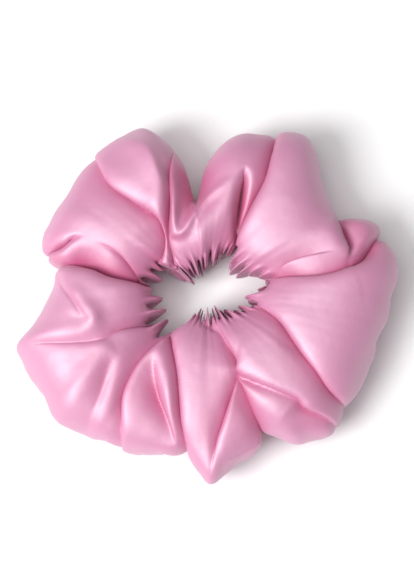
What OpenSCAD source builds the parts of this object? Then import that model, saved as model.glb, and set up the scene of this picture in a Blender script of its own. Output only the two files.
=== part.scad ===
// Satin scrunchie lying flat: a fabric tube gathered round a flat elastic band.
// The origin is the middle of the outline, on the surface that it lies on, with +Z up.

/* [Cover] */
// Overall width, left to right
cover_w = 110; // [100:1:125]
// Overall depth, front to back
cover_d = 104; // [98:1:120]
// Thickness of the ring where a puff is fullest
cover_h = 28; // [26:1:34]
// Thickness of the gathered fabric wall
wall = 1.2; // [0.8:0.1:2]
// Height of a gather, where two puffs meet
neck_h = 22; // [18:1:24]
// Radius of the outline at a gather
gather_r = 44; // [42:0.5:46]
// Radius of the rounded edges of the tube
edge_r = 9; // [8:0.5:9.5]

/* [Hair hole] */
// Radius of the hole at the front and back puffs, which grip the hair
grip_r = 10; // [8:0.5:11]
// Radius of the hole at the puffs on the left and right
side_hole_r = 14; // [12:0.5:15]

/* [Elastic] */
// Radius of the relaxed elastic loop
elastic_r = 23; // [22:0.5:25]
// Width of the flat elastic
elastic_w = 6; // [4:0.5:8]
// Thickness of the flat elastic
elastic_t = 1; // [0.8:0.1:1.4]
// Length of the overlap where its two ends are sewn together
elastic_lap = 12; // [8:1:13]

/* [Sewing] */
// Diameter of the sewing thread
thread_d = 0.35; // [0.25:0.05:0.5]
// Pitch of the side seam's stitches
stitch = 2.5; // [2:0.25:4]
// Width of the seam allowance inside the tube
allowance_w = 4; // [3:0.5:4.5]
// Thickness of the two layers of the seam allowance
allowance_t = 0.8; // [0.6:0.1:1]
// Number of ladder stitches in the closing seam
closing_rungs = 6; // [4:1:7]

/* [Hidden] */
$fn = 64;
// Free gap left between neighbouring puffs
gap = 0.4;
// Clearance of a stitch from the cloth it lies on
lift = 0.05;
// How far a cutting shape runs past what it cuts
past = 1;
mid_z = cover_h / 2;
half_w = cover_w / 2;
half_d = cover_d / 2;
// How far the cloth between two puffs stands out past the start of their outlines' arcs
land = 0.8;
// Radius of the middle of the tube, where the height of a gather is measured
ring_r = 33;

// One row for each puff, anticlockwise from the right: the angle where it starts, the angle
// where it ends, its outer radius and the radius of the hole there.
PUFFS = [
    [-33, 6, half_w - 3, side_hole_r],
    [6, 33, half_w + 2, side_hole_r],
    [33, 69, half_w - 1, side_hole_r],
    [69, 97, half_d, grip_r],
    [97, 125, half_d + 2, grip_r],
    [125, 151, half_d + 3, side_hole_r],
    [151, 172, half_w - 4, side_hole_r],
    [172, 207, half_w, side_hole_r],
    [207, 232, half_w, side_hole_r],
    [232, 259, half_d - 3, grip_r],
    [259, 277, half_d, grip_r],
    [277, 291, half_d - 5, grip_r],
    [291, 307, half_d - 5, grip_r],
    [307, 327, half_d, side_hole_r]
];
// Row of the puff at the left end, which holds the elastic's overlap and starts at the closing seam
LEFT = 7;

// How far the elastic climbs in one turn, so that its ends lie one over the other
climb = elastic_t + lift;
lap_sweep = elastic_lap / elastic_r * 180 / PI;
lap_angle = (PUFFS[LEFT][0] + PUFFS[LEFT][1] - lap_sweep) / 2;
// Zigzag stitches across the overlap: how many, how far they lean and how much of the width
lap_stitches = 5;
lap_slant = 18;
lap_reach = 0.7;
// Length of a stitch that shows, as a share of the pitch
shown = 0.6;
// Distance of the side seam from the fold of the cloth
seam_inset = 1.2;

function half_angle(p) = (p[1] - p[0]) / 2;
function middle_angle(p) = (p[0] + p[1]) / 2;
// Radius of the arc that bows a puff's outline out, from one gather to the next
function lobe_r(p) =
    let (edge = gather_r * sin(half_angle(p)), bow = p[2] - gather_r * cos(half_angle(p)))
    (edge * edge + bow * bow) / (2 * bow);
// Radius of the crown that lowers a puff to neck_h at its gathers
function crown_r(p) = norm([neck_h / 2, ring_r * tan(half_angle(p))]);

// Half section of the ring: a rectangle with round corners, from r_in to r_out
module tube_section(r_in, r_out, height, corner) {
    translate([r_in + corner, mid_z - height / 2])
        square([r_out - r_in - 2 * corner, height]);
    translate([r_in, mid_z - height / 2 + corner])
        square([r_out - r_in, height - 2 * corner]);
    for (x = [r_in + corner, r_out - corner], side = [-1, 1])
        translate([x, mid_z + side * (height / 2 - corner)])
            circle(r = corner);
}

// The whole puff, taken in by inset on every face of the cloth and longer by extra degrees
module puff_shape(p, inset, extra) {
    intersection() {
        rotate([0, 0, p[0] - extra])
            rotate_extrude(angle = p[1] - p[0] + 2 * extra)
                tube_section(p[3] + inset, p[2] - inset, cover_h - 2 * inset, edge_r - inset);
        union() {
            translate([0, 0, -past])
                cylinder(r = gather_r + land - inset, h = cover_h + 2 * past);
            rotate([0, 0, middle_angle(p)])
                translate([p[2] - lobe_r(p), 0, -past])
                    cylinder(r = lobe_r(p) - inset, h = cover_h + 2 * past);
        }
        rotate([0, 0, middle_angle(p)])
            translate([0, 0, mid_z])
                rotate([0, 90, 0])
                    cylinder(r = crown_r(p) - inset, h = cover_w);
    }
}

// The two raw edges of the cloth, turned inside the tube on its hole side
module seam_allowance(p) {
    bite = wall / 4;
    rotate([0, 0, p[0]])
        rotate_extrude(angle = p[1] - p[0])
            translate([p[3] + wall - bite, mid_z - allowance_t / 2])
                square([allowance_w + bite, allowance_t]);
}

// One puff of the cover: hollow, open at both gathers, with its stretch of seam allowance
module puff(i) {
    p = PUFFS[i];
    color("pink")
        difference() {
            union() {
                difference() {
                    puff_shape(p, 0, 0);
                    puff_shape(p, wall, past);
                }
                seam_allowance(p);
            }
            for (a = [p[0], p[1]])
                rotate([0, 0, a])
                    translate([0, -gap / 2, -past])
                        cube([cover_w, gap, cover_h + 2 * past]);
        }
}

// A point of the band's winding at angle a, out from its inner face
function band_point(a, out) =
    (elastic_r + climb * a / 360 + out) * [cos(a + lap_angle), sin(a + lap_angle)];

// Flat elastic wound once round, its ends one over the other along the overlap
module elastic_band() {
    turn = [for (a = [0:5:360 + lap_sweep]) a];
    inner = [for (a = turn) band_point(a, 0)];
    outer = [for (i = [len(turn) - 1:-1:0]) band_point(turn[i], elastic_t)];
    color("white")
        translate([0, 0, mid_z - elastic_w / 2])
            linear_extrude(height = elastic_w)
                polygon(concat(inner, outer));
}

// A straight piece of thread of that length, centred and lying round the ring at +X
module thread_bar(length) {
    rotate([90, 0, 0])
        cylinder(d = thread_d, h = length, center = true, $fn = 16);
}

// Zigzag rows that sew the elastic's ends together, on its inner and its outer face
module elastic_join_stitches() {
    clear = thread_d / 2 + 2 * lift;
    lap_top = elastic_r + climb * (360 + lap_sweep) / 360 + elastic_t;
    color("hotpink")
        for (r = [elastic_r - clear, lap_top + clear], k = [1:lap_stitches])
            rotate([0, 0, lap_angle + lap_sweep * k / (lap_stitches + 1)])
                translate([r, 0, mid_z])
                    rotate([90 + (k % 2 == 0 ? lap_slant : -lap_slant), 0, 0])
                        thread_bar(elastic_w * lap_reach);
}

// Lockstitch along the seam allowance: one row of stitches on each side of the two layers
module side_seam_thread() {
    rise = allowance_t / 2 + thread_d / 2 + lift;
    color("hotpink")
        for (p = PUFFS) {
            row_r = p[3] + wall + seam_inset;
            span = p[1] - p[0];
            count = floor(row_r * span * PI / 180 / stitch);
            for (k = [1:count], side = [-1, 1])
                rotate([0, 0, p[0] + span * (k - 0.5) / count])
                    translate([row_r, 0, mid_z + side * rise])
                        thread_bar(stitch * shown);
        }
}

// Ladder stitches that close the tube: rungs across the gather, on the wall of the hair hole
module closing_seam_thread() {
    straight_wall = cover_h - 2 * edge_r;
    sag = stitch * stitch / side_hole_r / 8;
    color("hotpink")
        rotate([0, 0, PUFFS[LEFT][0]])
            for (k = [1:closing_rungs])
                translate([
                    side_hole_r - sag - thread_d / 2 - lift, 0,
                    mid_z + straight_wall * (k / (closing_rungs + 1) - 0.5)
                ])
                    thread_bar(stitch * shown);
}

puff(0);  // puff_01
puff(1);  // puff_02
puff(2);  // puff_03
puff(3);  // puff_04
puff(4);  // puff_05
puff(5);  // puff_06
puff(6);  // puff_07
puff(LEFT);  // puff_08
puff(8);  // puff_09
puff(9);  // puff_10
puff(10);  // puff_11
puff(11);  // puff_12
puff(12);  // puff_13
puff(13);  // puff_14
elastic_band();
elastic_join_stitches();
side_seam_thread();
closing_seam_thread();
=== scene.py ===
"""A gathered satin scrunchie lying flat: cover, elastic and threads, built around the CAD frame."""

from __future__ import annotations

import logging
import math
from dataclasses import dataclass, field
from enum import Enum

import bpy
import numpy as np
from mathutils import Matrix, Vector

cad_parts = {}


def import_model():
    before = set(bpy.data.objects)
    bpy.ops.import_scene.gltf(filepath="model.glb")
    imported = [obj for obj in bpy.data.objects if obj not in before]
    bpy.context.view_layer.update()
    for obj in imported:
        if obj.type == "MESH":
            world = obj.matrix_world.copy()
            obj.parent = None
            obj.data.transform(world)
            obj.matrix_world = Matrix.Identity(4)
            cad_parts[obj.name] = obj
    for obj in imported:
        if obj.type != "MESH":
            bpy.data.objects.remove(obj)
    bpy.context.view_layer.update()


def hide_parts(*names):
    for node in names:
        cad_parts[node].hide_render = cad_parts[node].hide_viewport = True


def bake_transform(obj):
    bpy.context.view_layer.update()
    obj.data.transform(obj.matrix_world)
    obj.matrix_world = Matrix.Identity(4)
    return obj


log = logging.getLogger("scrunchie")

MM = 0.001
TURN = 2 * math.pi
Array = np.ndarray
Colour = tuple[float, float, float]


class Profile(Enum):
    """How a crease is shaped across its line."""

    VALLEY = "a cusp between two rounded puffs"
    RIDGE = "a rounded fold that stands up"


def catmull_rom(points: Array, count: int) -> Array:
    """Resample a drawn path as a smooth curve through all its points.

    Between two points the curve is the cubic whose slope at each end is half the step between
    that point's neighbours. The first and last points are repeated as their own neighbours.

    Args:
        points: Path points, one row each, with any number of columns.
        count: Number of points in the result.

    Returns:
        The resampled path, count rows.
    """
    padded = np.vstack([2 * points[0] - points[1], points, 2 * points[-1] - points[-2]])
    t = np.linspace(0, len(points) - 1 - 1e-9, count)
    i = t.astype(int)
    f = (t - i)[:, None]
    a, b, c, d = (padded[i + k] for k in range(4))
    return 0.5 * (2 * b + (c - a) * f + (2 * a - 5 * b + 4 * c - d) * f**2 + (3 * b - a - 3 * c + d) * f**3)


def closed_spline(angles: Array, knots: Array, values: Array) -> Array:
    """Interpolate values round a circle with a smooth closed curve through the knots.

    Args:
        angles: Where to read the curve, in radians.
        knots: Knot angles in radians, in rising order within one turn.
        values: Value at each knot.

    Returns:
        The curve's values, shaped as angles.
    """
    k = np.concatenate([knots[-2:] - TURN, knots, knots[:2] + TURN])
    v = np.concatenate([values[-2:], values, values[:2]])
    slope = np.zeros_like(v)
    slope[1:-1] = (v[2:] - v[:-2]) / (k[2:] - k[:-2])
    a = (angles - knots[0]) % TURN + knots[0]
    i = np.clip(np.searchsorted(k, a, side="right") - 1, 1, len(k) - 3)
    h = k[i + 1] - k[i]
    t = (a - k[i]) / h
    return (
        v[i] * (1 + 2 * t) * (1 - t) ** 2
        + slope[i] * h * t * (1 - t) ** 2
        + v[i + 1] * t * t * (3 - 2 * t)
        - slope[i + 1] * h * t * t * (1 - t)
    )


def smoothstep(x: Array, low: float, high: float) -> Array:
    """Rise smoothly from 0 at low to 1 at high: 3t^2 - 2t^3 of the share of the way."""
    t = np.clip((x - low) / (high - low), 0, 1)
    return t * t * (3 - 2 * t)


def grid_faces(rows: int, columns: int, wrap: bool = False) -> Array:
    """Quads of a grid of points stored row by row.

    Args:
        rows: Number of rows of points.
        columns: Number of points in a row.
        wrap: Whether the last column joins the first.

    Returns:
        Vertex numbers, four to a face.
    """
    last = columns if wrap else columns - 1
    i, j = np.meshgrid(np.arange(rows - 1), np.arange(last), indexing="ij")
    k = (j + 1) % columns
    here, below = i * columns, (i + 1) * columns
    return np.stack([here + j, below + j, below + k, here + k], -1).reshape(-1, 4)


def finer(values: Array, shape: tuple[int, ...]) -> Array:
    """Double a grid of vectors by taking the cubic middle of each pair of neighbours.

    The middle is (9 (b + c) - (a + d)) / 16 for the four values a, b, c, d round it.

    Args:
        values: Vectors on every second point, shaped (rows, columns, 3).
        shape: Shape of the fine grid.

    Returns:
        Vectors on the fine grid.
    """
    out = values
    for axis in (0, 1):
        out = np.moveaxis(out, axis, 0)
        wide = np.concatenate([2 * out[:1] - out[1:2], out, 2 * out[-1:] - out[-2:-1]])
        middle = (9 * (wide[1:-2] + wide[2:-1]) - wide[:-3] - wide[3:]) / 16
        doubled = np.empty((2 * len(out) - 1, *out.shape[1:]))
        doubled[::2] = out
        doubled[1::2] = middle
        out = np.moveaxis(doubled, 0, axis)
    return out[: shape[0], : shape[1]]


def make_mesh(
    name: str, points_mm: Array, faces: Array | list[list[int]], smooth: bool = True
) -> bpy.types.Object:
    """Put points and faces into a new mesh object at the origin.

    Args:
        name: Name of the piece.
        points_mm: Vertex positions in millimetres, one row each.
        faces: Vertex numbers, one row for each face.
        smooth: Whether the faces are shaded smooth.

    Returns:
        The new object, linked to the scene.
    """
    mesh = bpy.data.meshes.new(name)
    corners = faces.tolist() if isinstance(faces, np.ndarray) else faces
    mesh.from_pydata((points_mm * MM).tolist(), [], corners)
    mesh.polygons.foreach_set("use_smooth", np.full(len(faces), smooth))
    mesh.update()
    piece = bpy.data.objects.new(name, mesh)
    bpy.context.scene.collection.objects.link(piece)
    return piece


def strand_points(
    centres: Array, along: Array, length: float, radius: float, sides: int = 8
) -> tuple[Array, list[list[int]]]:
    """Short straight stitches of thread with rounded ends, all in one mesh.

    Each ring of a stitch sits at a share q of its half length, with the radius times
    sqrt(1 - |q|^6), and the outermost rings close in a point.

    Args:
        centres: Middle of each stitch, in millimetres.
        along: Unit direction of each stitch.
        length: Length of a stitch.
        radius: Radius of the thread.
        sides: Points round the thread.

    Returns:
        Points of all the stitches and the faces between them.
    """
    q = np.array([-0.985, -0.85, -0.5, 0, 0.5, 0.85, 0.985])
    swell = radius * np.sqrt(1 - np.abs(q) ** 6)
    up = np.broadcast_to(np.array([0.12, 0.05, 1.0]), along.shape)
    side = np.cross(along, up)
    side /= np.linalg.norm(side, axis=1, keepdims=True)
    top = np.cross(side, along)
    a = np.linspace(0, TURN, sides, endpoint=False)[:, None]
    ring = side[:, None] * np.cos(a) + top[:, None] * np.sin(a)
    middle = centres[:, None] + along[:, None] * (q * length / 2)[:, None]
    points = middle[:, :, None] + ring[:, None] * swell[:, None, None]
    tips = centres[:, None] + along[:, None] * np.array([-1, 1])[:, None] * length / 2
    points = np.concatenate([points.reshape(len(centres), -1, 3), tips], 1)
    tube = grid_faces(len(q), sides, wrap=True)[:, ::-1]
    k = np.arange(sides)
    n = len(q) * sides
    far = n - sides
    ends = np.concatenate([
        np.stack([k, (k + 1) % sides, np.full(sides, n)], -1),
        np.stack([far + (k + 1) % sides, far + k, np.full(sides, n + 1)], -1),
    ])
    start = (np.arange(len(centres)) * (n + 2))[:, None, None]
    faces = (tube[None] + start).reshape(-1, 4).tolist() + (ends[None] + start).reshape(-1, 3).tolist()
    return points.reshape(-1, 3), faces


def outward(piece: bpy.types.Object) -> None:
    """Make a closed piece's faces point out.

    It is turned inside out if its volume, the sum of a . (b x c) / 6, is negative.

    Args:
        piece: The piece to check.
    """
    mesh = piece.data
    mesh.calc_loop_triangles()
    place = np.zeros(len(mesh.vertices) * 3)
    mesh.vertices.foreach_get("co", place)
    corner = np.zeros(len(mesh.loop_triangles) * 3, np.int32)
    mesh.loop_triangles.foreach_get("vertices", corner)
    a, b, c = place.reshape(-1, 3)[corner].reshape(-1, 3, 3).transpose(1, 0, 2)
    if (a * np.cross(b, c)).sum() < 0:
        mesh.flip_normals()


def add_uv(piece: bpy.types.Object, u: Array, v: Array) -> None:
    """Store a UV map in metres of cloth.

    Args:
        piece: The piece that gets the map.
        u: Place along the cloth, one for each vertex.
        v: Place across the cloth, one for each vertex.
    """
    mesh = piece.data
    corner = np.zeros(len(mesh.loops), np.int32)
    mesh.loops.foreach_get("vertex_index", corner)
    layer = mesh.uv_layers.new(name="cloth")
    layer.uv.foreach_set("vector", np.stack([u[corner], v[corner]], -1).astype(np.float32).ravel())


@dataclass(frozen=True)
class Crease:
    """One fold line of the cloth, drawn in plan from the hair hole out to the rim.

    Attributes:
        path: Points (x, y, depth) in millimetres.
        ccw: Width of the fold on its anticlockwise side, in millimetres.
        cw: Width on its clockwise side.
        profile: Whether it is pressed in or stands up.
        lap: How far the steep side hangs over the line, in millimetres.
    """

    path: tuple[tuple[float, float, float], ...]
    ccw: float
    cw: float
    profile: Profile = Profile.VALLEY
    lap: float = 2.0

    def press(self, x: Array, y: Array) -> tuple[Array, Array]:
        """Depth of the fold at each plan position.

        The depth along the line comes from the path. Across it a valley falls off as
        exp(-|d| / width), which leaves a cusp between two domes, and a ridge as exp(-(d / width)^2).
        Where one side of a valley is much steeper, its cloth moves towards the line by
        lap (d / a) exp(1 - d / a), so that its edge hangs over the bottom.

        Args:
            x: Plan positions in millimetres.
            y: Plan positions in millimetres.

        Returns:
            Depth in millimetres, never negative, and how far each point moves in plan.
        """
        line = catmull_rom(np.array(self.path, float), 8 * len(self.path))
        reach = 5 * max(self.ccw, self.cw) + 2
        near = (
            (x > line[:, 0].min() - reach) & (x < line[:, 0].max() + reach)
            & (y > line[:, 1].min() - reach) & (y < line[:, 1].max() + reach)
        )
        px, py = x[near], y[near]
        best = np.full(px.shape, 1e9)
        depth = np.zeros(px.shape)
        turn = np.zeros(px.shape)
        off = np.zeros((*px.shape, 2))
        for a, b in zip(line[:-1], line[1:]):
            step = b[:2] - a[:2]
            t = np.clip(((px - a[0]) * step[0] + (py - a[1]) * step[1]) / (step @ step + 1e-12), 0, 1)
            dx, dy = px - a[0] - t * step[0], py - a[1] - t * step[1]
            d = np.hypot(dx, dy)
            closer = d < best
            best = np.where(closer, d, best)
            depth = np.where(closer, a[2] + t * (b[2] - a[2]), depth)
            turn = np.where(closer, step[0] * dy - step[1] * dx, turn)
            off = np.where(closer[:, None], np.stack([dx, dy], -1), off)
        width = np.where(turn > 0, self.ccw, self.cw)
        if self.profile is Profile.VALLEY:
            soft = 0.2
            across = np.exp(-(np.sqrt(best * best + soft * soft) - soft) / width)
        else:
            across = np.exp(-((best / width) ** 2))
        out = np.zeros_like(x)
        out[near] = np.maximum(depth, 0) * across
        move = np.zeros((*x.shape, 2))
        if self.profile is Profile.VALLEY and max(self.ccw, self.cw) > 1.5 * min(self.ccw, self.cw):
            steep = (turn > 0) == (self.ccw < self.cw)
            bend = 1.2
            pull = self.lap * np.clip(depth / 5, 0, 1) * best / bend * np.exp(1 - best / bend) * steep
            move[near] = -off / np.maximum(best, 1e-6)[:, None] * pull[:, None]
        return out, move


# Fold lines of the top, from the hair hole out to the rim, in anticlockwise order from the right.
VALLEYS = (
    # right shoulder, under the big top right puff
    Crease(((13, 1.6, 2), (15.5, 3.6, 4), (21, 4.8, 4.5), (32, 5.2, 4), (40, 7, 5), (46, 9.6, 7),
            (50.2, 13.6, 8), (53, 19.3, 4), (54.5, 22, 1)), 3.6, 1.3),
    Crease(((16.7, 4.9, 2), (20, 8, 2.6), (24, 10.2, 2.6), (30, 12, 2), (36, 13, 0.7), (39, 13.3, 0)),
            3, 1.0),
    Crease(((41, 12, 2), (40, 15.7, 6.5), (38.9, 20, 8), (38, 24.5, 5), (38, 32, 1)), 1.2, 4.5),
    # left edge of the big top right puff, with the lens-shaped hollow beside it
    Crease(((7.4, 12.5, 6), (9.4, 18, 7.5), (13.4, 25.5, 7), (17.6, 33.5, 6), (19.8, 41, 5.5),
            (21, 45.5, 5), (21.2, 50, 2.5), (21.4, 56, 1)), 3.6, 0.9),
    Crease(((6.4, 13.5, 4), (7.4, 20, 8), (8.6, 26, 10), (9.8, 32, 7), (11, 37.5, 0.5)),
            1.2, 2.2, lap=0.8),
    # notch at the top
    Crease(((-6.4, 19.3, 1), (-5.2, 24.4, 3.5), (-3.8, 30.5, 7), (-4, 36.4, 8), (-4.2, 42, 5),
            (-4.3, 50, 4)), 4.5, 4.5),
    Crease(((-7.2, 8.6, 3.5), (-8.6, 18.6, 4.5), (-9.7, 27.3, 6), (-10, 36, 5), (-9.8, 43.5, 2),
            (-9.6, 50, 0)), 1.8, 1.2),
    Crease(((-11.6, 8.8, 4), (-10.2, 14.2, 5), (-10.9, 18.6, 5.5), (-13.8, 23.7, 5), (-21, 28.4, 4),
            (-28.3, 34, 3.5), (-32.6, 41.5, 2), (-35, 47, 0)), 5, 1.3),
    # left side
    Crease(((-35, 18.3, 0), (-39.5, 17.9, 3), (-44, 16.9, 7), (-48, 15.7, 5), (-52, 14.5, 2)),
            2.2, 0.9),
    Crease(((-14, 3.4, 4), (-19.6, 8.5, 4), (-25.4, 13.2, 2.5), (-32, 16, 0.5)), 4, 1.4),
    Crease(((-13.5, 2.6, 5), (-21, 3.6, 8), (-28.3, 5, 10), (-35.6, 8, 10), (-42, 9.4, 6),
            (-50, 9.8, 2)), 1.0, 4.2),
    Crease(((-43, 8, 0), (-41.7, 3, 1.2), (-38, -2.4, 1.4), (-35, -6.8, 1), (-34, -8.5, 0)), 2.6, 0.6),
    # lower left
    Crease(((-12.5, -5.4, 2), (-15, -7.4, 3.2), (-19, -8.6, 3), (-25, -10.2, 2.4), (-30, -13, 1.6),
            (-38, -13.8, 1.8), (-47, -13.6, 1.5), (-54, -13.2, 0)), 1.2, 3.4),
    Crease(((-26, -16, 0), (-28, -20, 2), (-30, -27, 2.4), (-33, -34, 1), (-36, -42, 0)), 3.5, 5),
    Crease(((-9.8, -9.8, 2), (-13.8, -14, 4), (-19.6, -21.3, 5.5), (-23.2, -29.3, 5), (-24.6, -38, 2.5),
            (-25, -46, 0.6)), 1.2, 3.6),
    Crease(((-13.5, -15, 0), (-14.5, -22, 3), (-13.5, -29.3, 5), (-10.4, -38.5, 3), (-9, -44, 0.5)),
            2, 4.5, lap=0.8),
    Crease(((-8, -8, 4), (-8.3, -14, 5), (-7.3, -22.8, 5), (-6.6, -33.7, 5.5), (-5.8, -43.8, 3),
            (-5, -52, 1)), 1.0, 2.2),
    # bottom cone and the small flap beside it
    Crease(((9.2, -20.5, 2), (8.7, -24, 4.5), (6.5, -32.2, 6), (3.6, -40.9, 5), (1.2, -48, 1.5),
            (0.6, -53, 0)), 0.9, 4),
    Crease(((-2, -6.6, 0), (0, -7.2, 1.6), (2.6, -8.8, 1.6), (4.5, -11, 1)), 1.6, 1.6),
    Crease(((9, -19, 2), (11.5, -25, 6), (13.6, -31, 9), (16.4, -38, 7), (18.6, -41.5, 3),
            (19.8, -48, 1)), 1.4, 4),
    # lower edge of the long strip
    Crease(((1.5, -5.6, 0.5), (3.6, -9.4, 2), (7.2, -15.5, 4), (10.8, -21, 4.5), (15.5, -25, 3.2),
            (20.5, -27.6, 2.4), (26, -30, 3), (28.5, -32.6, 4), (33.4, -34.9, 3.5), (38, -37.4, 1)),
            1.0, 3.6, lap=1.2),
    # upper edge of the long strip
    Crease(((11.2, -0.3, 3), (20.3, -6.1, 4.5), (26.9, -14.8, 5), (32, -21.3, 5.5), (37, -27.3, 4.5),
            (40.6, -31.4, 2), (43.5, -35, 0.5)), 1.0, 4),
)

RIDGES = (
    Crease(((-9.4, 12, 0.5), (-10.6, 18, 1.0), (-12.2, 27, 1.6), (-14, 35, 1.8), (-18.1, 43.5, 1.6),
            (-26, 46, 0.6)), 4, 2.2, Profile.RIDGE),
    Crease(((-8.4, 44, 0.5), (-8.0, 32, 1.8), (-8, 24.4, 2.2), (-6.6, 18.4, 2.0), (-3.6, 24.4, 1.8),
            (-0.5, 28.7, 1.2), (4.4, 32.4, 0.5), (8, 35, 0)), 1.3, 1.3, Profile.RIDGE),
    Crease(((22, 3, 0), (31, 3.6, 1.0), (40, 5, 1.2), (47, 9, 1.2), (52, 15, 0.8)),
            1.4, 4.5, Profile.RIDGE),
    Crease(((-43, 8.6, 0.6), (-40.4, 4, 1.5), (-36.2, -1.8, 1.6), (-32.8, -6.8, 2.0),
            (-34.5, -9.8, 1.2), (-41, -11, 1.0), (-48, -12, 0.8), (-54, -13, 0.6)),
            2.7, 2.7, Profile.RIDGE),
    Crease(((-27.5, -12.8, 0), (-30.3, -17.5, 1.5), (-35, -24.5, 1.5), (-41.5, -33, 0.8)),
            4, 3.4, Profile.RIDGE),
    Crease(((-22, -14, 0), (-24.6, -20, 0.6), (-26, -28, 0.6), (-27, -36, 0.3)), 4, 4, Profile.RIDGE),
    Crease(((-11.5, -19, 0), (-10, -26, 1.0), (-8.2, -35, 1.0), (-7, -42, 0.3)),
            2.2, 2.2, Profile.RIDGE),
)

OUTLINE = (
    (55.2, 8.4), (53.7, 0.4), (50.1, -10.4), (45.7, -21.3), (41.8, -30.8), (39, -35.5), (36.3, -39.5),
    (29.8, -41), (25.4, -41.8), (19, -39.5), (15.2, -43.8), (9.4, -46.9), (5, -50.6), (0.7, -54),
    (-2.4, -50.4), (-5.1, -46.3), (-10.9, -45.6), (-18, -44.4), (-28.3, -42), (-35.6, -38.6), (-42.8, -35.3),
    (-47.9, -27.1), (-52.2, -18.4), (-54.5, -13.2), (-50.3, -6.8), (-46, 0.4), (-44, 6.2), (-44, 10.4),
    (-47.2, 12.5), (-48.9, 15.7), (-47.9, 18.8), (-44.3, 25.8), (-39.2, 35.3), (-34.1, 43), (-28.3, 46.9),
    (-22.5, 50.2), (-17.5, 51.2), (-11, 47), (-6.5, 42.5), (-4, 36.2), (0, 42.5), (5.8, 48), (11.2, 50),
    (15.5, 50.1), (20, 50.5), (25, 50.3), (29.5, 48.4), (31.9, 44), (33.8, 35.3), (37.6, 26), (44.3, 25),
    (48.5, 23.8), (53.3, 19.5),
)

HOLE = (
    (15.2, 3.3), (10.2, 9.1), (6.9, 12.4), (4.4, 12.0), (-2.2, 9.1), (-6.5, 6.8), (-10.6, 8.6),
    (-13.8, 5.5), (-14, -1.0), (-13.8, -6.8), (-8.6, -8.6), (-5.6, -5.6), (-2.2, -4.0), (4.4, -3.4),
    (10.2, -1.2), (12.6, 0.4),
)


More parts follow.
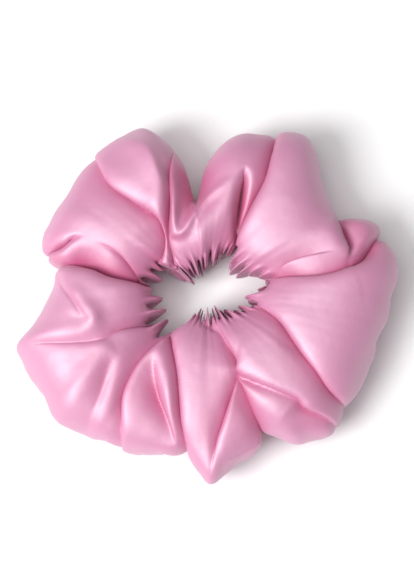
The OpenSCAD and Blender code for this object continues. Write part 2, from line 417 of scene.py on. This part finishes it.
@dataclass
class GatheredCover:
    """The satin cover: one strip sewn to a tube and gathered round the elastic.

    Attributes:
        around: Grid points round the ring.
        across: Grid points round the tube, without the seam allowances.
        centre: Middle of the hair hole in plan, in millimetres.
        height: Height of the crown above the floor, in millimetres.
        middle: Height of the tube's middle line.
        lean: Height of the ellipse, to its width of 1, whose normal the folds move along.
        tuck: How far one end of the tube reaches into the other, in radians.
        tuck_depth: How far the tucked end is taken in, in millimetres.
        seam_angle: Direction of the closing seam from the middle of the hole, in radians.
        cut_length: Length of the cut round the ring, in metres: the longest way round this cover.
        cut_width: Width of the cut across the tube, in metres: the mean way across this cover.
        wall_pleats: Depth of the fine folds on the wall of the hole, in millimetres.
        under_pleats: Depth of the fine folds underneath.
        elastic_inside: Inner limit of the elastic from the origin, which the allowance stays inside.
        allowance: Width of each turned-in edge.
        allowance_rows: Rows of points across a turned-in edge.
        trial_scale: How many times larger the cloth is while it settles.
        trial_frames: Number of frames for which it settles.
        ironing: Times that the settled movement is averaged with its neighbours.
        slack_out: How far the rest shape is moved away from the middle, in millimetres.
        slack_section: Size of the rest shape's sections, as a share of the folded shape's.
        points: Points of the finished grid.
        depth: Depth of the pressed-in folds at each point of the tube.
    """

    around: int = 641
    across: int = 147
    centre: tuple[float, float] = (0.0, 2.0)
    height: float = 27.4
    middle: float = 14.0
    lean: float = 0.62
    tuck: float = math.radians(3)
    tuck_depth: float = 0.5
    seam_angle: float = math.radians(173)
    cut_length: float = 0.414
    cut_width: float = 0.112
    wall_pleats: float = 4.4
    under_pleats: float = 3.1
    elastic_inside: float = 22.2
    allowance: float = 4.0
    allowance_rows: int = 4
    trial_scale: float = 20.0
    trial_frames: int = 16
    ironing: int = 3
    slack_out: float = 2.5
    slack_section: float = 1.05
    points: Array = field(default_factory=lambda: np.zeros(0), init=False)
    depth: Array = field(default_factory=lambda: np.zeros(0), init=False)

    def polar(self, angles: Array, drawn: tuple[tuple[float, float], ...]) -> Array:
        """Distance from the middle of the hole to a drawn outline.

        Args:
            angles: Directions from the middle of the hole, in radians.
            drawn: The outline's points in millimetres.

        Returns:
            The distance in each direction.
        """
        rel = np.array(drawn) - np.array(self.centre)
        knots = np.arctan2(rel[:, 1], rel[:, 0]) % TURN
        order = np.argsort(knots)
        return closed_spline(angles, knots[order], np.hypot(rel[:, 0], rel[:, 1])[order])

    def surface(self) -> Array:
        """Work out the gathered tube's surface.

        The section is a superellipse from the hole's edge to the rim: r = middle + half width
        times sign(cos p) |cos p|^0.85 and z = middle + half height times sign(sin p) |sin p|^0.9.
        Folds move it along its own outward normal.

        Returns:
            Points in millimetres, with the turned-in rows at both ends of each section.
        """
        share = np.linspace(0, 1, self.across)
        phi = math.pi - TURN * (0.006 + 0.988 * share)
        theta = self.seam_angle + np.linspace(0, TURN + self.tuck, self.around)
        t, p = np.meshgrid(theta, phi, indexing="ij")
        rin, rout = self.polar(t, HOLE), self.polar(t, OUTLINE)
        c, s = np.cos(p), np.sin(p)
        r = (rin + rout) / 2 + (rout - rin) / 2 * np.sign(c) * np.abs(c) ** 0.85
        up = (self.height - self.middle) * (1 - 0.05 * (1 + np.sin(3 * t + 0.5)))
        down = self.middle
        z = self.middle + np.where(s > 0, up, down) * np.sign(s) * np.abs(s) ** 0.9
        x = self.centre[0] + r * np.cos(t)
        y = self.centre[1] + r * np.sin(t)
        press = np.zeros_like(x)
        slide = np.zeros((*x.shape, 2))
        for crease in VALLEYS:
            depth, move = crease.press(x, y)
            press += depth**3
            slide += move
        press = press ** (1 / 3)
        rise = np.zeros_like(x)
        for crease in RIDGES:
            rise = np.maximum(rise, crease.press(x, y)[0])
        self.depth = press
        top = smoothstep(s, -0.9, -0.2)
        move = -press * (0.35 + 0.65 * top) + rise * smoothstep(s, -0.2, 0.3)
        move += self.gathers(t, s, c) + self.lumps(t, s, c)
        turned = t - self.seam_angle
        move -= self.tuck_depth * smoothstep(turned, TURN - self.tuck, TURN)
        move -= 0.5 * self.tuck_depth * smoothstep(-turned, -self.tuck / 3, 0)
        # outward normal of the section, in (r, z)
        nr, nz = c, s / self.lean
        size = np.hypot(nr, nz)
        r = r + move * nr / size
        z = z + move * nz / size
        x = self.centre[0] + r * np.cos(t) + slide[..., 0] * (0.2 + 0.8 * top)
        y = self.centre[1] + r * np.sin(t) + slide[..., 1] * (0.2 + 0.8 * top)
        z = np.maximum(z, 0.2)
        grid = np.stack([x, y, z], -1)
        above = self.turned_in(grid[:, :1], theta, 1)[:, ::-1]
        below = self.turned_in(grid[:, -1:], theta, -1)
        return np.concatenate([above, grid, below], 1)

    def gathers(self, t: Array, s: Array, c: Array) -> Array:
        """Fine folds that run from the hole to the rim.

        Three waves round the ring, of 23, 37 and 61 folds a turn, each bent by a slower wave.
        They are strongest low on the wall of the hole and underneath, where the cloth is packed.

        Args:
            t: Direction of each point round the ring, in radians.
            s: Sine of its angle round the section, 1 on top.
            c: Cosine of that angle, 1 at the rim and -1 at the hole.

        Returns:
            How far each point moves out of the surface, in millimetres.
        """
        bend = 0.5 * np.sin(3 * t + 1.3) + 0.35 * np.sin(5 * t + 0.4) + 0.25 * s
        wave = 0.35 * np.sin(23 * t + 6 * bend) + 0.45 * np.sin(37 * t - 5 * bend + 1.0)
        wave = wave + 0.2 * np.sin(61 * t + 9 * bend)
        wall = self.wall_pleats * smoothstep(-c, 0.1, 0.9) * smoothstep(-s, -0.7, 0.0)
        under = self.under_pleats * smoothstep(-s, 0.0, 0.7) * (1 - 0.5 * smoothstep(c, 0.1, 0.9))
        packed = 0.06 + np.maximum(wall, under)
        return wave * packed

    def lumps(self, t: Array, s: Array, c: Array) -> Array:
        """Slack of the cloth on the outer wall and underneath.

        The product of a slow wave round the ring and one round the tube, plus long folds that
        slant down the outer wall: |sin| makes them rounded puffs between sharp valleys.

        Args:
            t: Direction of each point round the ring, in radians.
            s: Sine of its angle round the section.
            c: Cosine of that angle.

        Returns:
            How far each point moves out of the surface, in millimetres.
        """
        low = smoothstep(-s, -0.45, 0.35)
        slow = 0.8 * np.sin(5 * t + 2.2 * s + 0.7) * np.cos(3 * t - 1.5 * c)
        slant = t + 0.10 * s + 0.05 * np.sin(4 * t)
        folds = 1.5 * (np.abs(np.sin(8.5 * slant + 0.6 * np.sin(3 * t))) - 0.75)
        folds = folds + 0.6 * (np.abs(np.sin(17 * slant - 1.2 * np.sin(2 * t) + 0.8)) - 0.7)
        return low * (slow + folds * smoothstep(c, -0.6, 0.6))

    def turned_in(self, edge: Array, theta: Array, side: int) -> Array:
        """Rows of cloth turned into the tube from one long edge.

        Args:
            edge: The last row of the tube's surface, shaped (around, 1, 3).
            theta: Direction of each column.
            side: 1 for the edge above the side seam and -1 for the one below.

        Returns:
            Points shaped (around, rows, 3), from the fold inwards.
        """
        reach = np.linspace(0, 1, self.allowance_rows + 1)[1:] * self.allowance
        out = np.stack([np.cos(theta), np.sin(theta), np.zeros_like(theta)], -1)[:, None, :]
        room = (self.elastic_inside - np.hypot(edge[:, 0, 0], edge[:, 0, 1])) / self.allowance
        rows = edge + out * (reach[None, :] * np.clip(room, 0.2, 1)[:, None])[..., None]
        rows[..., 2] = self.middle + side * 0.12
        return rows

    def settle(self, grid: Array) -> Array:
        """Let the cloth buckle by itself, with Blender's Cloth on every second point of the grid.

        The cut is longer than the folded shape: its rest shape has the same sections, a little
        larger and moved away from the middle. The seams hold the cloth, and weak springs keep
        each fold near its place. How far each point moved is then added to the fine grid.

        Args:
            grid: The folded shape, in millimetres.

        Returns:
            The settled shape on the same grid.
        """
        coarse = grid[::2, ::2]
        rows, columns = coarse.shape[:2]
        scale = self.trial_scale
        piece = make_mesh("trial_cloth", coarse.reshape(-1, 3) * scale, grid_faces(rows, columns)[:, ::-1])
        piece.shape_key_add(name="folded")
        cut = piece.shape_key_add(name="cut")
        plan = coarse[..., :2] - np.array(self.centre)
        r = np.hypot(plan[..., 0], plan[..., 1])
        lane = slice(self.allowance_rows // 2, columns - self.allowance_rows // 2)
        ring = r[:, lane].mean(1, keepdims=True)
        longer = (r - ring) * self.slack_section + ring + self.slack_out
        rest = np.empty_like(coarse)
        rest[..., :2] = np.array(self.centre) + plan * (longer / r)[..., None]
        rest[..., 2] = (coarse[..., 2] - self.middle) * self.slack_section + self.middle
        cut.data.foreach_set("co", (rest * scale * MM).ravel())
        column = np.broadcast_to(np.arange(columns), (rows, columns))
        row = np.broadcast_to(np.arange(rows)[:, None], (rows, columns))
        hold = np.full((rows, columns), 0.10)
        edge = np.minimum(column, columns - 1 - column) - self.allowance_rows // 2
        hold = np.where(edge < 6, 0.5 - 0.066 * np.maximum(edge, 0), hold)
        hold = np.where(coarse[..., 2] < 0.6, 0.3, hold)
        hold = np.where((edge <= 0) | (row < 1) | (row > rows - 2), 1.0, hold)
        level = np.round(hold * 50).astype(int).ravel()
        held = piece.vertex_groups.new(name="held")
        for value in np.unique(level):
            held.add(np.flatnonzero(level == value).tolist(), value / 50, "REPLACE")
        cloth = piece.modifiers.new("settle", "CLOTH")
        settings = cloth.settings
        settings.quality = 6
        settings.mass = 0.2
        settings.tension_stiffness = settings.compression_stiffness = 25
        settings.shear_stiffness = 10
        settings.bending_stiffness = 6.0
        settings.tension_damping = settings.compression_damping = settings.shear_damping = 10
        settings.bending_damping = 1.0
        settings.air_damping = 2.0
        settings.vertex_group_mass = "held"
        settings.pin_stiffness = 1.0
        settings.rest_shape_key = cut
        settings.use_pressure = True
        settings.uniform_pressure_force = 0.6
        settings.effector_weights.gravity = 0
        cloth.point_cache.frame_start = 1
        cloth.point_cache.frame_end = self.trial_frames
        scene = bpy.context.scene
        for frame in range(1, self.trial_frames + 1):
            scene.frame_set(frame)
        result = piece.evaluated_get(bpy.context.evaluated_depsgraph_get()).data
        flat = np.zeros(rows * columns * 3, np.float32)
        result.vertices.foreach_get("co", flat)
        moved = flat.reshape(rows, columns, 3) / (scale * MM) - coarse
        for _ in range(self.ironing):
            moved[1:-1] = (moved[:-2] + 2 * moved[1:-1] + moved[2:]) / 4
            moved[:, 1:-1] = (moved[:, :-2] + 2 * moved[:, 1:-1] + moved[:, 2:]) / 4
        scene.frame_set(1)
        log.info("cloth moved up to %.1f mm, mean %.2f mm", np.abs(moved).max(), np.abs(moved).mean())
        bpy.data.objects.remove(piece)
        return grid + finer(moved, grid.shape)

    def build(self) -> bpy.types.Object:
        """Make the cover's mesh.

        Returns:
            The cover as one open sheet.
        """
        grid = self.surface()
        grid = self.settle(grid)
        grid[..., 2] = np.maximum(grid[..., 2], 0.2)
        self.points = grid
        rows, columns = grid.shape[:2]
        piece = make_mesh("satin_cover", grid.reshape(-1, 3), grid_faces(rows, columns)[:, ::-1])
        du = np.repeat(np.linspace(0, self.cut_length, rows), columns)
        dv = np.tile(np.linspace(0, self.cut_width, columns), rows)
        add_uv(piece, du, dv)
        # Painted shade: the depth of the pressed-in folds, 0 to 1, by which the satin's colour is darkened
        # in its folds.
        fold = np.zeros((rows, columns))
        inner = slice(self.allowance_rows, columns - self.allowance_rows)
        fold[:, inner] = np.clip(self.depth / 5, 0, 1)
        layer = piece.data.attributes.new("fold", "FLOAT", "POINT")
        layer.data.foreach_set("value", fold.ravel().astype(np.float32))
        return piece


@dataclass
class Elastic:
    """The flat braided elastic and the zigzag that joins its ends.

    Attributes:
        radius: Inner radius of the relaxed loop, in millimetres.
        width: Width of the band.
        thickness: Thickness of the band.
        overlap: Length of the sewn overlap.
        lap_angle: Direction in which the overlap starts, in radians.
        height: Height of its middle line above the floor.
        climb: How far the radius grows in one turn.
        ribs: Number of cords across the width.
        thread: Radius of the joining thread.
    """

    radius: float = 23.0
    width: float = 6.0
    thickness: float = 1.0
    overlap: float = 12.0
    lap_angle: float = math.radians(174.55)
    height: float = 14.0
    climb: float = 1.05
    ribs: int = 9
    thread: float = 0.175

    def band(self) -> bpy.types.Object:
        """Wind the band once round, its ends one over the other.

        The radius climbs by the band's thickness in one turn. The section is a rounded strip whose
        faces carry shallow cords: the half thickness times (1 + 0.12 |sin|) across the width.

        Returns:
            The band.
        """
        sweep = TURN + self.overlap / self.radius
        a = np.linspace(0, sweep, 361)
        q = np.linspace(0, 1, 2 * 28, endpoint=False)
        w = np.cos(TURN * q)
        flat = np.sign(w) * (1 - (1 - np.abs(w)) ** 1.6)
        thick = np.sign(np.sin(TURN * q)) * np.minimum(1, 6 * (1 - np.abs(flat))) ** 0.5
        thick = thick * (0.88 + 0.12 * np.abs(np.sin(math.pi * self.ribs * (flat + 1) / 2)))
        r = (self.radius + self.climb * a / TURN + self.thickness / 2)[:, None] + thick * self.thickness / 2
        turn = (a + self.lap_angle)[:, None]
        z = np.broadcast_to(self.height + flat * self.width / 2, r.shape)
        points = np.stack([r * np.cos(turn), r * np.sin(turn), z], -1)
        rows, columns = r.shape
        k = np.arange(columns)
        last, end = (rows - 1) * columns, rows * columns
        closes = np.concatenate([
            np.stack([k, (k + 1) % columns, np.full(columns, end)], -1),
            np.stack([last + (k + 1) % columns, last + k, np.full(columns, end + 1)], -1),
        ])
        faces = grid_faces(rows, columns, wrap=True)[:, ::-1].tolist() + closes.tolist()
        middles = points[[0, -1]].mean(1)
        piece = make_mesh("elastic_braid", np.concatenate([points.reshape(-1, 3), middles]), faces)
        length = a * self.radius * MM
        u = np.append(np.repeat(length, columns), [0, length[-1]])
        v = np.append(np.tile(flat * self.width / 2 * MM, rows), [0, 0])
        add_uv(piece, u, v)
        outward(piece)
        return piece

    def zigzag(self) -> bpy.types.Object:
        """Sew the overlap, with slanted stitches on its inner and its outer face.

        Returns:
            The stitches as one piece.
        """
        count = 5
        k = np.arange(1, count + 1)
        sweep = self.overlap / self.radius
        a = self.lap_angle + sweep * k / (count + 1)
        clear = self.thread + 0.1
        outer = self.radius + self.climb * (TURN + sweep) / TURN + self.thickness + clear
        lean = np.radians(18) * np.where(k % 2 == 0, 1, -1)
        places, ways = [], []
        for r in (self.radius - clear, outer):
            places.append(np.stack([r * np.cos(a), r * np.sin(a), np.full(count, self.height)], -1))
            ways.append(np.stack([-np.sin(a) * np.sin(lean), np.cos(a) * np.sin(lean), np.cos(lean)], -1))
        middles, along = np.concatenate(places), np.concatenate(ways)
        points, faces = strand_points(middles, along, self.width * 0.7, self.thread)
        piece = make_mesh("elastic_zigzag", points, faces)
        outward(piece)
        return piece


@dataclass
class Seams:
    """Thread of the side seam inside the tube and of the hand-sewn closing seam.

    Attributes:
        cover: The cover whose cloth is sewn.
        pitch: Length from one stitch to the next, in millimetres.
        shown: Share of the pitch that lies on top of the cloth.
        thread: Radius of the thread.
        row: Row of the turned-in edge that the seam follows, counted from its raw edge.
        rungs: Number of stitches in the closing seam.
    """

    cover: GatheredCover
    pitch: float = 2.5
    shown: float = 0.6
    thread: float = 0.175
    row: int = 1
    rungs: int = 7

    def side(self) -> bpy.types.Object:
        """Lockstitch along the two turned-in edges, a row on each side.

        Returns:
            The stitches as one piece.
        """
        cover = self.cover
        line = cover.points[:, self.row].copy()
        for _ in range(12):
            line[1:-1] = (line[:-2] + 2 * line[1:-1] + line[2:]) / 4
        step = np.linalg.norm(np.diff(line[:, :2], axis=0), axis=1)
        run = np.concatenate([[0], np.cumsum(step)])
        at = np.arange(self.pitch, run[-1] - self.pitch, self.pitch)
        place = np.stack([np.interp(at, run, line[:, k]) for k in range(3)], -1)
        ahead = np.stack([np.interp(at + 0.5, run, line[:, k]) for k in range(3)], -1)
        way = ahead - place
        way[:, 2] = 0
        way /= np.linalg.norm(way, axis=1, keepdims=True)
        lift = np.array([0, 0, 0.12 + self.thread + 0.05])
        level = np.array([1, 1, 0]) * place + np.array([0, 0, cover.middle])
        centres = np.concatenate([level + lift, level - lift])
        along = np.concatenate([way, way])
        points, faces = strand_points(centres, along, self.pitch * self.shown, self.thread)
        piece = make_mesh("side_seam_stitches", points, faces)
        outward(piece)
        return piece

    def closing(self) -> bpy.types.Object:
        """Ladder stitches across the edge where one end of the tube is tucked into the other.

        Each rung lies across the edge, just proud of the cloth that the edge lies on.

        Returns:
            The stitches as one piece.
        """
        cover = self.cover
        first = cover.allowance_rows
        last = cover.points.shape[1] - cover.allowance_rows
        edge = cover.points[0]
        walk = np.concatenate([edge[last - 12 : last], edge[first + 1 : first + 12]])
        run = np.concatenate([[0], np.cumsum(np.linalg.norm(np.diff(walk, axis=0), axis=1))])
        at = run[-1] * (np.arange(self.rungs) + 0.5) / self.rungs
        place = np.stack([np.interp(at, run, walk[:, k]) for k in range(3)], -1)
        inward = np.array([*cover.centre, 0]) - place
        inward[:, 2] = 0
        inward /= np.linalg.norm(inward, axis=1, keepdims=True)
        across = np.cross(inward, [0, 0, 1.0])
        proud = place + inward * (self.thread + 0.2)
        points, faces = strand_points(proud, across, self.pitch * self.shown, self.thread)
        piece = make_mesh("closing_seam_stitches", points, faces)
        outward(piece)
        return piece


def add_node(tree: bpy.types.NodeTree, kind: str, **values: object) -> bpy.types.Node:
    """Add a shader node and set its inputs.

    Args:
        tree: Where the node is added.
        kind: Its type, without ShaderNode in front.
        values: Values of the inputs named, with _ for a space.

    Returns:
        The node.
    """
    made = tree.nodes.new("ShaderNode" + kind)
    for key, value in values.items():
        made.inputs[key.replace("_", " ")].default_value = value
    return made


class Shade:
    """A material's nodes, added and joined with short calls.

    Attributes:
        material: The material.
        tree: Its node tree.
        shader: Its Principled BSDF.
    """

    def __init__(self, name: str) -> None:
        """Start a material of that name."""
        self.material = bpy.data.materials.new(name)
        self.material.use_nodes = True
        self.tree = self.material.node_tree
        self.shader = self.tree.nodes["Principled BSDF"]

    def node(self, kind: str, **values: object) -> bpy.types.Node:
        """Add a node to the material, as add_node does, and return it."""
        return add_node(self.tree, kind, **values)

    def join(self, source: bpy.types.NodeSocket, target: bpy.types.NodeSocket) -> None:
        """Link two sockets."""
        self.tree.links.new(source, target)

    def gloss(self, **values: object) -> None:
        """Set the shader's own inputs, with _ for a space."""
        for key, value in values.items():
            self.shader.inputs[key.replace("_", " ")].default_value = value


def worn_cloth_group() -> bpy.types.NodeTree:
    """Group that varies a cloth's colour and height, by soft mottling and its threads.

    The threads are two sets of waves, across each other, in the cloth's own UV in metres.

    Returns:
        The group. Place is a point of the object, and Weave a point of the cloth's own UV.
    """
    group = bpy.data.node_groups.new("worn_cloth", "ShaderNodeTree")
    for name, kind in (
        ("Colour", "NodeSocketColor"), ("Mottle", "NodeSocketFloat"), ("Threads", "NodeSocketFloat"),
        ("Slub", "NodeSocketFloat"), ("Place", "NodeSocketVector"), ("Weave", "NodeSocketVector"),
    ):
        group.interface.new_socket(name, in_out="INPUT", socket_type=kind)
    group.interface.new_socket("Colour", in_out="OUTPUT", socket_type="NodeSocketColor")
    group.interface.new_socket("Height", in_out="OUTPUT", socket_type="NodeSocketFloat")
    nodes, links = group.nodes, group.links
    given, result = nodes.new("NodeGroupInput"), nodes.new("NodeGroupOutput")
    mottle = add_node(group, "TexNoise", Scale=55, Detail=4)
    links.new(given.outputs["Place"], mottle.inputs["Vector"])
    slub = add_node(group, "TexNoise", Scale=260, Detail=2)
    stretch = add_node(group, "Mapping", Scale=(0.25, 2.5, 1))
    links.new(given.outputs["Weave"], stretch.inputs["Vector"])
    links.new(stretch.outputs["Vector"], slub.inputs["Vector"])
    warp = add_node(group, "TexWave", Distortion=0.6)
    weft = add_node(group, "TexWave", Distortion=0.6)
    for wave, direction in ((warp, "X"), (weft, "Y")):
        wave.bands_direction = direction
        links.new(given.outputs["Weave"], wave.inputs["Vector"])
        links.new(given.outputs["Threads"], wave.inputs["Scale"])
    cross = add_node(group, "Math")
    cross.operation = "MULTIPLY"
    links.new(warp.outputs["Fac"], cross.inputs[0])
    links.new(weft.outputs["Fac"], cross.inputs[1])
    tone = add_node(group, "MapRange", From_Min=0.3, From_Max=0.7, To_Min=0.92, To_Max=1.07)
    links.new(mottle.outputs["Fac"], tone.inputs["Value"])
    scaled = add_node(group, "VectorMath")
    scaled.operation = "SCALE"
    links.new(given.outputs["Colour"], scaled.inputs[0])
    links.new(tone.outputs["Result"], scaled.inputs["Scale"])
    varied = add_node(group, "Mix")
    varied.data_type = "RGBA"
    links.new(given.outputs["Mottle"], varied.inputs["Factor"])
    links.new(given.outputs["Colour"], varied.inputs["A"])
    links.new(scaled.outputs["Vector"], varied.inputs["B"])
    links.new(varied.outputs["Result"], result.inputs["Colour"])
    lines = add_node(group, "Math")
    lines.operation = "MULTIPLY_ADD"
    links.new(slub.outputs["Fac"], lines.inputs[0])
    links.new(given.outputs["Slub"], lines.inputs[1])
    links.new(cross.outputs["Value"], lines.inputs[2])
    links.new(lines.outputs["Value"], result.inputs["Height"])
    return group


def cloth_group(shade: Shade, **values: object) -> bpy.types.Node:
    """Place the shared cloth group in a material, reading the object and the cloth's own UV.

    Args:
        shade: The material.
        values: Values of the group's inputs.

    Returns:
        The group's node.
    """
    group = shade.tree.nodes.new("ShaderNodeGroup")
    group.node_tree = bpy.data.node_groups.get("worn_cloth") or worn_cloth_group()
    for key, value in values.items():
        group.inputs[key].default_value = value
    shade.join(shade.node("TexCoord").outputs["Object"], group.inputs["Place"])
    uv = shade.node("UVMap")
    uv.uv_map = "cloth"
    shade.join(uv.outputs["UV"], group.inputs["Weave"])
    return group


@dataclass(frozen=True)
class Satin:
    """Pink satin, with a soft pale sheen over a saturated body, and painted shade down in its folds.

    Attributes:
        face: Colour of the cloth on an open face.
        painted_fold_shade: Painted shade, a darker and more saturated colour down in a fold, which stands in
            for light that has passed through cloth on its way.
        sheen: Colour of the sheen.
    """

    face: Colour = (0.605, 0.24, 0.405)
    painted_fold_shade: Colour = (0.52, 0.08, 0.22)
    sheen: Colour = (1.0, 0.86, 0.95)

    def make(self) -> bpy.types.Material:
        """Build the material and return it."""
        shade = Shade("satin")
        # Painted shade: the colour moves from the open face colour towards a darker, more saturated pink by
        # the depth of the folds.
        fold = shade.node("Attribute")
        fold.attribute_name = "fold"
        blend = shade.node("Mix")
        blend.data_type = "RGBA"
        blend.inputs["A"].default_value = (*self.face, 1)
        blend.inputs["B"].default_value = (*self.painted_fold_shade, 1)
        shade.join(fold.outputs["Fac"], blend.inputs["Factor"])
        cloth = cloth_group(shade, Mottle=0.5, Threads=700.0, Slub=0.8)
        shade.join(blend.outputs["Result"], cloth.inputs["Colour"])
        shade.join(cloth.outputs["Colour"], shade.shader.inputs["Base Color"])
        shade.gloss(Roughness=0.54, IOR=2.2, Specular_IOR_Level=0.6, Sheen_Weight=0.15, Sheen_Roughness=0.5)
        shade.gloss(Sheen_Tint=(*self.sheen, 1), Anisotropic=0.35)
        ripple = shade.node("TexNoise", Scale=85, Detail=3)
        shade.join(shade.node("TexCoord").outputs["Object"], ripple.inputs["Vector"])
        drape = shade.node("Bump", Strength=0.4, Distance=0.0012)
        shade.join(ripple.outputs["Fac"], drape.inputs["Height"])
        weave = shade.node("Bump", Strength=0.25, Distance=0.00006)
        shade.join(cloth.outputs["Height"], weave.inputs["Height"])
        shade.join(drape.outputs["Normal"], weave.inputs["Normal"])
        shade.join(weave.outputs["Normal"], shade.shader.inputs["Normal"])
        return shade.material


@dataclass(frozen=True)
class Braid:
    """White braided elastic, with a fine weave over its cords."""

    colour: Colour = (0.84, 0.83, 0.80)

    def make(self) -> bpy.types.Material:
        """Build the material and return it."""
        shade = Shade("elastic")
        cloth = cloth_group(shade, Mottle=0.8, Threads=350.0, Slub=0.5, Colour=(*self.colour, 1))
        shade.join(cloth.outputs["Colour"], shade.shader.inputs["Base Color"])
        shade.gloss(Roughness=0.8, Sheen_Weight=0.3, Sheen_Roughness=0.5)
        ribs = shade.node("Bump", Strength=0.8, Distance=0.00015)
        shade.join(cloth.outputs["Height"], ribs.inputs["Height"])
        shade.join(ribs.outputs["Normal"], shade.shader.inputs["Normal"])
        return shade.material


@dataclass(frozen=True)
class Thread:
    """Pink polyester thread, twisted from finer strands, with painted shade between them and a painted
    highlight on top.

    Attributes:
        painted_groove_shade: Painted shade between the strands.
        light: Painted highlight on top of the strands.
    """

    painted_groove_shade: Colour = (0.52, 0.15, 0.30)
    light: Colour = (0.74, 0.30, 0.48)

    def make(self) -> bpy.types.Material:
        """Build the material and return it."""
        shade = Shade("thread")
        twist = shade.node("TexWave", Scale=900, Distortion=0.5)
        twist.bands_direction = "DIAGONAL"
        shade.join(shade.node("TexCoord").outputs["Object"], twist.inputs["Vector"])
        # Painted shade and painted highlight: the twist's bands colour the thread darker between its strands
        # and lighter on top of them.
        blend = shade.node("Mix")
        blend.data_type = "RGBA"
        blend.inputs["A"].default_value = (*self.painted_groove_shade, 1)
        blend.inputs["B"].default_value = (*self.light, 1)
        shade.join(twist.outputs["Fac"], blend.inputs["Factor"])
        shade.join(blend.outputs["Result"], shade.shader.inputs["Base Color"])
        shade.gloss(Roughness=0.45, Sheen_Weight=0.3)
        strands = shade.node("Bump", Strength=0.6, Distance=0.00005)
        shade.join(twist.outputs["Fac"], strands.inputs["Height"])
        shade.join(strands.outputs["Normal"], shade.shader.inputs["Normal"])
        return shade.material


@dataclass
class Studio:
    """Floor, lights and camera.

    Attributes:
        lens: Focal length of the camera, in millimetres.
        elevation: Angle at which the camera looks down, in degrees.
    """

    lens: float = 150.0
    elevation: float = 80.0

    def build(self) -> None:
        """Make the floor, the lights and the camera."""
        view = bpy.context.scene.view_settings
        view.view_transform = "Standard"
        self.floor()
        self.lights()
        self.camera()

    def floor(self) -> None:
        """A plain pale floor."""
        half = 3000.0
        corners = np.array([(-half, -half, 0), (half, -half, 0), (half, half, 0), (-half, half, 0)], float)
        floor = make_mesh("floor", corners, np.array([[0, 1, 2, 3]]), smooth=False)
        material = bpy.data.materials.new("floor_paper")
        material.use_nodes = True
        shader = material.node_tree.nodes["Principled BSDF"]
        shader.inputs["Base Color"].default_value = (0.9, 0.9, 0.9, 1)
        shader.inputs["Roughness"].default_value = 0.9
        floor.data.materials.append(material)

    def light(self, name: str, place: tuple[float, float, float], size: float, power: float) -> None:
        """Add a square soft light that faces the scrunchie.

        Args:
            name: Name of the light.
            place: Where it stands, in metres.
            size: Length of its side, in metres.
            power: Its power in watts.
        """
        data = bpy.data.lights.new(name, "AREA")
        data.size = size
        data.energy = power
        lamp = bpy.data.objects.new(name, data)
        bpy.context.scene.collection.objects.link(lamp)
        lamp.location = place
        lamp.rotation_euler = (-Vector(place)).to_track_quat("-Z", "Y").to_euler()

    def lights(self) -> None:
        """Soft key from the front left, and an even pale surround."""
        self.light("key", (-0.58, -0.36, 0.85), 0.5, 11.6)
        self.light("overhead", (-0.12, -0.05, 1.2), 0.8, 6.0)
        world = bpy.data.worlds.new("surround")
        world.use_nodes = True
        world.node_tree.nodes["Background"].inputs["Color"].default_value = (1, 1, 1, 1)
        world.node_tree.nodes["Background"].inputs["Strength"].default_value = 0.24
        bpy.context.scene.world = world

    def camera(self) -> None:
        """The camera, almost straight above."""
        data = bpy.data.cameras.new("camera")
        data.lens = self.lens
        data.sensor_width = 36.0
        data.clip_end = 100
        camera = bpy.data.objects.new("camera", data)
        bpy.context.scene.collection.objects.link(camera)
        target = Vector((0.0, 0.0045, 0.012))
        frame_height = 0.1672
        distance = frame_height / 36.0 * self.lens
        e = math.radians(self.elevation)
        camera.location = target + Vector((0, -math.cos(e), math.sin(e))) * distance
        camera.rotation_euler = (target - camera.location).to_track_quat("-Z", "Y").to_euler()
        bpy.context.scene.camera = camera


PUFFS = tuple(f"puff_{k:02d}" for k in range(1, 15))


def fit(piece: bpy.types.Object, material: bpy.types.Material, slot: str, *nodes: str) -> None:
    """Dress a piece and put it in place of its CAD nodes.

    Args:
        piece: The finished piece.
        material: Its material.
        slot: Name of the record's material slot. Not used.
        nodes: CAD nodes that it stands for.
    """
    piece.data.materials.append(material)
    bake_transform(piece)
    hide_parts(*nodes)
    log.info("%s: %d faces", piece.name, len(piece.data.polygons))


def main() -> None:
    """Build the scrunchie around the frame and report each piece."""
    logging.basicConfig(level=logging.INFO, format="%(name)s: %(message)s")
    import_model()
    Studio().build()
    cover = GatheredCover()
    cloth = cover.build()
    fit(cloth, Satin().make(), "satin", *PUFFS)
    thread = Thread().make()
    elastic = Elastic()
    fit(elastic.band(), Braid().make(), "elastic", "elastic_band")
    fit(elastic.zigzag(), thread, "thread", "elastic_join_stitches")
    seams = Seams(cover)
    fit(seams.side(), thread, "thread", "side_seam_thread")
    fit(seams.closing(), thread, "thread", "closing_seam_thread")


if __name__ == "__main__":
    main()
